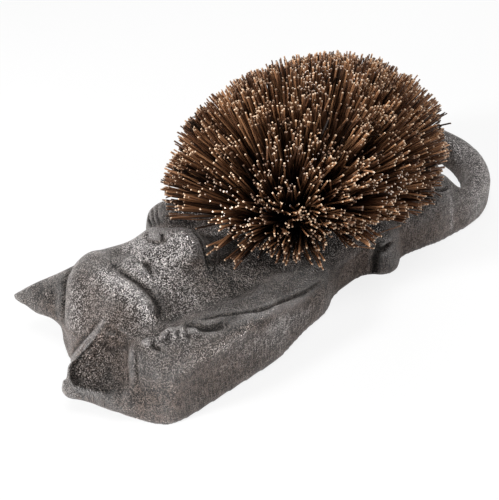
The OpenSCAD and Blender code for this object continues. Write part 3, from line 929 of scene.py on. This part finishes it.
def growth(x, y, half_length, half_width, crown_foot):
    """Root, direction and length of the tuft that grows at a place on the block's crown."""
    spread = min(1.0, math.hypot(x / half_length, y / half_width))
    share = (math.asin(spread) / (math.pi / 2)) ** LEAN_POWER
    lean = BRISTLE_FAN * share
    turn = math.atan2(y / half_width, x / half_length)
    worn = WEAR * share * ((1 + math.cos(turn - WEAR_TURN)) / 2) ** 2
    fresh = FRESH * share * math.cos(turn - FRESH_TURN) ** 2
    length = (BRISTLE_CROWN + (BRISTLE_RIM - BRISTLE_CROWN) * share**2) * (1 + fresh - worn)
    root = np.array((x, y, crown_foot + BLOCK_CROWN * math.sqrt(1 - spread * spread)))
    way = np.array((math.sin(lean) * math.cos(turn), math.sin(lean) * math.sin(turn), math.cos(lean)))
    return root, way, length


def row_holes(index, half_length, half_width, crown_foot):
    """Root, direction and length of each tuft of a row, along its lines of holes across the crown."""
    for line in range(LINES_PER_ROW):
        share = (index + (line + 0.5) / LINES_PER_ROW) / len(ROWS) * 2 - 1
        x = share * (half_length - BLOCK_FLAT)
        half = half_width * math.sqrt(1 - (x / half_length) ** 2)
        rise = BLOCK_CROWN * half / half_width
        arc = math.pi * math.hypot(half, rise) / math.sqrt(2)
        tufts = max(LEAST_TUFTS, round(arc / TUFT_PITCH))
        for t in range(tufts):
            angle = math.pi / 2 * (2 * (t + 0.25 + 0.5 * (line % 2)) / tufts - 1)
            yield growth(x, half * math.sin(angle), half_length, half_width, crown_foot)


def unit(vector):
    return vector / np.linalg.norm(vector)


def across(way):
    """Two directions square to a way and to each other."""
    side = unit(np.cross(way, OFF_AXIS))
    return side, np.cross(way, side)


def stop_beside(root, tip):
    """The tip of a bristle, drawn back to the side of the solids' box."""
    spill = abs(tip[1]) - (cad_box[1][1] - 2 * BRISTLE_R)
    if spill <= 0:
        return tip
    return tip - (tip - root) * spill / abs(tip[1] - root[1])


def stop_short(root, tip, skin):
    """The tip of a bristle, drawn back to where the bristle meets the iron."""
    way = Vector(tip - root)
    hit = skin.ray_cast(Vector(root), way, way.length)
    if hit[0] is None:
        return tip
    return root + (tip - root) * (hit[3] - IRON_GAP) / way.length


def bent(points, root, tip, bow, thick):
    """The points of the unit bristle, laid from root to tip and bowed between."""
    z = points[:, 2]
    u, v = across(unit(tip - root))
    centre = np.outer(1 - z, root) + np.outer(z, tip) + np.outer(4 * z * (1 - z), bow)
    return centre + (np.outer(points[:, 0] * thick, u) + np.outer(points[:, 1] * thick, v))


def tuft(hole, points, skin, chance):
    """Points and tone of each bristle of a tuft, splayed out of its hole."""
    tuft_root, way, length = hole
    side, other = across(way)
    clump = CLUMP * chance.normal(size=2)
    tuft_tone = chance.normal(0.0, TUFT_TONES)
    tuft_length = length * chance.uniform(*TUFT_LENGTHS)
    for b in range(TUFT_BRISTLES):
        radius = ROOT_SPREAD * math.sqrt(b + 0.5)
        bearing = b * GOLDEN_TURN + chance.uniform(0, TURN_DRIFT)
        off = radius * (math.cos(bearing) * side + math.sin(bearing) * other)
        splay = 1 + SPLAY * chance.uniform(*SPLAY_RANGE)
        wild = STRAY if chance.uniform() < STRAY_SHARE else 1
        lean = clump + wild * WANDER * chance.normal(size=2)
        long = tuft_length * chance.uniform(*BRISTLE_LENGTHS)
        root = tuft_root + off - ROOT_DEPTH * way
        tip = tuft_root + splay * off + long * unit(way + lean[0] * side + lean[1] * other)
        tip = stop_short(root, stop_beside(root, tip), skin)
        bow = wild * BOW * (chance.normal() * side + chance.normal() * other)
        thick = chance.uniform(*THICKNESS)
        tone = MIDDLE_TONE + tuft_tone + chance.normal(0, BRISTLE_TONES)
        yield bent(points, root, tip, bow, thick), tone


def bristle_row(index, bristle, finish, skin):
    """The tufts of one row, with how far along its bristle and how pale each point is."""
    middle, half_length, half_width, _, crown_foot = brush_sizes()
    chance = np.random.default_rng(FIRST_SEED + index)
    points, faces = bristle
    count = len(points)
    grown = []
    for hole in row_holes(index, half_length, half_width, crown_foot):
        grown.extend(tuft(hole, points, skin, chance))
    placed = np.concatenate([laid for laid, _ in grown]) + np.array((middle, 0, 0))
    mesh = bpy.data.meshes.new("tufts")
    mesh.from_pydata(
        placed.tolist(), [], [[i + n * count for i in face] for n in range(len(grown)) for face in faces]
    )
    keep_values(mesh, "along", np.clip(np.tile(points[:, 2], len(grown)), 0, 1))
    keep_values(mesh, "tone", np.clip(np.repeat([tone for _, tone in grown], count), 0, 1))
    row = bpy.data.objects.new(f"tufts_{index + 1:02d}", mesh)
    bpy.context.scene.collection.objects.link(row)
    take(row)
    bpy.ops.object.shade_smooth_by_angle(angle=SHARP_EDGE)
    dress(row, finish, ROWS[index])


bpy.context.scene.view_settings.view_transform = "Standard"
photo_camera()
pale_floor()
studio_light()
iron_cat = cast_cat(new_finish("sand_cast_iron", paint_iron))
iron_skin = BVHTree.FromObject(iron_cat, bpy.context.evaluated_depsgraph_get())
brush_block(new_finish("black_stain", paint_block))
bristle_finish = new_finish("cut_fibre", paint_bristle)
bristle_shape = one_bristle()
for row_index in range(len(ROWS)):
    bristle_row(row_index, bristle_shape, bristle_finish, iron_skin)
zinc = new_finish("bright_zinc", paint_zinc)
for fastener in FASTENERS:
    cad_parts[fastener].data.materials.clear()
    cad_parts[fastener].data.materials.append(zinc)
